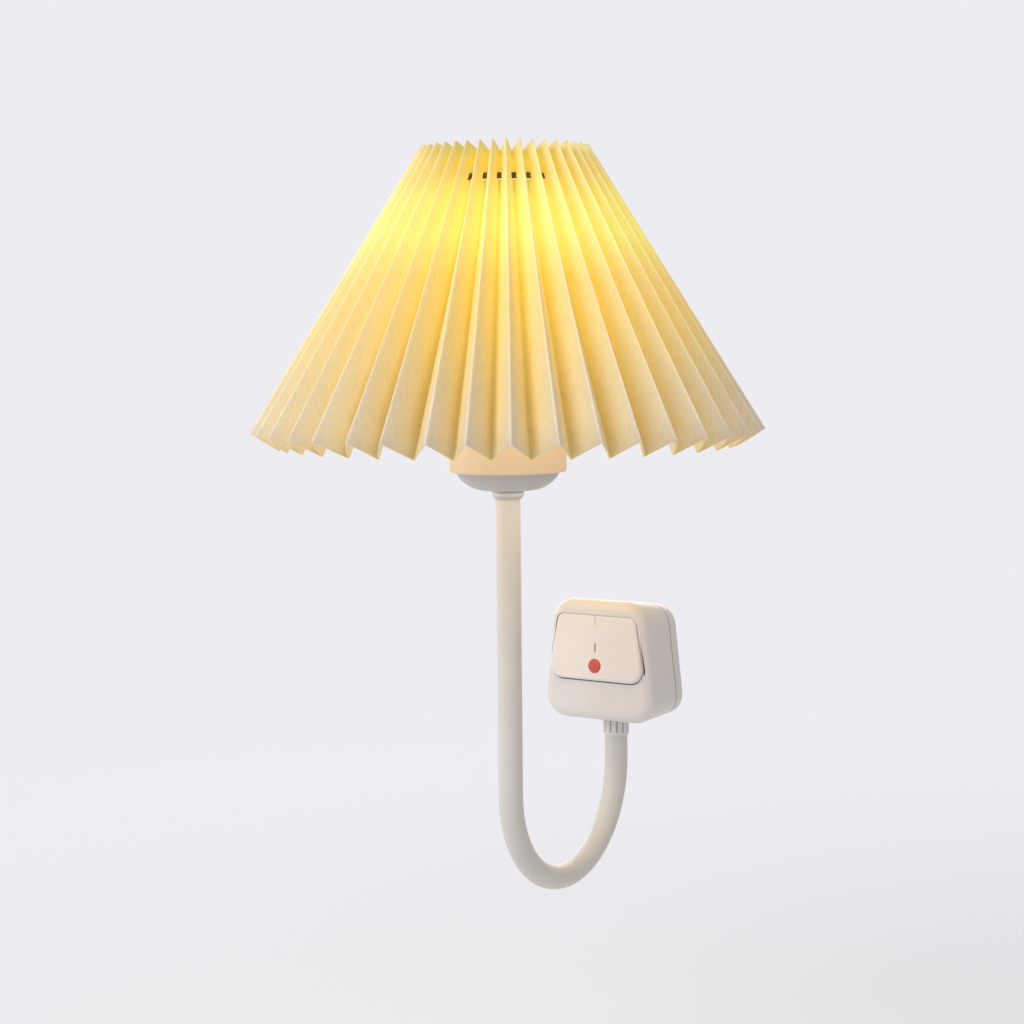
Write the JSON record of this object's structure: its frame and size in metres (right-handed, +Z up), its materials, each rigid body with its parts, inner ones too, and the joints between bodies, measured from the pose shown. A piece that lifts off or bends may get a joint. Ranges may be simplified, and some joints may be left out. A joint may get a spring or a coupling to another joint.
{
  "type": "wall light",
  "caption": "White plug-in wall light: a plug with a rocker switch, a bendable neck and a lit pleated paper shade",
  "frame": {"origin": "middle of the blades on the plug's back face", "axes": "+X right seen from the room, +Y along the blades into the outlet, +Z up"},
  "size_m": [0.2064, 0.2272, 0.31],
  "materials": {
    "plug_white": "smooth white plastic, soft sheen",
    "rocker_white": "polished white plastic",
    "lens_red": "clear red plastic, lit",
    "sleeve_white": "white, satin",
    "holder_white": "white plastic, satin",
    "shade_paper": "pleated cream paper, lit from inside",
    "dome_glow": "frosted white, lit",
    "board": "white coated board",
    "ceramic": "white glaze",
    "insulation": "moulded plastic",
    "brass": "bright",
    "steel": "zinc plated",
    "wire_steel": "white coated wire",
    "aluminium": "bright",
    "wire_red": "wire insulation",
    "wire_brown": "wire insulation"
  },
  "bodies": {
    "plug": {"front_housing": "plug_white", "back_cover": "plug_white", "live_blade": "brass", "neutral_blade": "brass", "earth_blade": "brass", "blade_carrier": "insulation", "cover_screws": "steel", "switch_base": "insulation", "switch_screws": "steel", "indicator_led": "lens_red", "pivot_contact": "brass", "fixed_contact": "brass", "live_link": "wire_red", "outlet_nut": "plug_white", "lower_ferrule": "steel", "lower_locknut": "steel", "neck_link_1": "sleeve_white", "neck_core": "steel", "lamp_wires": "wire_brown"},
    "rocker": {"rocker": "rocker_white", "indicator_lens": "lens_red", "plunger": "steel", "plunger_spring": "steel"},
    "seesaw": {"seesaw_contact": "brass"},
    "neck_a": {"neck_link_2": "sleeve_white"},
    "neck_b": {"neck_link_3": "sleeve_white"},
    "neck_c": {"neck_link_4": "sleeve_white"},
    "neck_d": {"neck_link_5": "sleeve_white"},
    "neck_e": {"neck_link_6": "sleeve_white"},
    "head": {"neck_link_7": "sleeve_white", "upper_ferrule": "steel", "upper_locknut": "steel", "collar": "sleeve_white", "dish_cap": "sleeve_white", "holder_shell": "holder_white", "holder_insert": "ceramic", "holder_terminals": "brass", "screw_shell": "brass", "centre_contact": "brass", "shade_ring_nut": "holder_white", "shade_carrier": "wire_steel", "shade": "shade_paper"},
    "bulb": {"bulb_cap": "aluminium", "bulb_contact": "insulation", "bulb_body": "holder_white", "led_board": "board", "bulb_dome": "dome_glow"}
  },
  "joints": [
    {"name": "rocker_press", "type": "hinge", "parent": "plug", "child": "rocker", "pos_m": [0, -0.028, 0.00445], "axis": [1, 0, 0], "range_deg": [0, 8]},
    {"name": "seesaw_tilt", "type": "hinge", "parent": "plug", "child": "seesaw", "pos_m": [0, -0.0162, 0.00445], "axis": [1, 0, 0], "range_deg": [-18, 0.5]},
    {"name": "neck_swing_low", "type": "hinge", "parent": "plug", "child": "neck_a", "pos_m": [0, -0.017, -0.0415], "axis": [0, 1, 0], "range_deg": [-30, 30], "deforming": ["neck_core", "lamp_wires"]},
    {"name": "neck_bend_first", "type": "hinge", "parent": "neck_a", "child": "neck_b", "pos_m": [0, -0.02959, -0.07691], "axis": [1, 0, 0], "range_deg": [-8, 20], "deforming": ["neck_core", "lamp_wires"]},
    {"name": "neck_bend_middle", "type": "hinge", "parent": "neck_b", "child": "neck_c", "pos_m": [0, -0.06, -0.0895], "axis": [1, 0, 0], "range_deg": [-8, 20], "deforming": ["neck_core", "lamp_wires"]},
    {"name": "neck_bend_last", "type": "hinge", "parent": "neck_c", "child": "neck_d", "pos_m": [0, -0.09041, -0.07691], "axis": [1, 0, 0], "range_deg": [-8, 20], "deforming": ["neck_core", "lamp_wires"]},
    {"name": "neck_swing_high", "type": "hinge", "parent": "neck_d", "child": "neck_e", "pos_m": [0, -0.103, 0], "axis": [0, 1, 0], "range_deg": [-25, 25], "deforming": ["neck_core", "lamp_wires"]},
    {"name": "head_tilt", "type": "hinge", "parent": "neck_e", "child": "head", "pos_m": [0, -0.103, 0.0455], "axis": [1, 0, 0], "range_deg": [-30, 30], "deforming": ["neck_core", "lamp_wires"]},
    {"name": "bulb_turn", "type": "hinge", "parent": "head", "child": "bulb", "pos_m": [0, -0.103, 0.12], "axis": [0, 0, 1], "continuous": true}
  ],
  "couplings": [
    {"joint": "seesaw_tilt", "follows": "rocker_press", "ratio": -1.5}
  ]
}
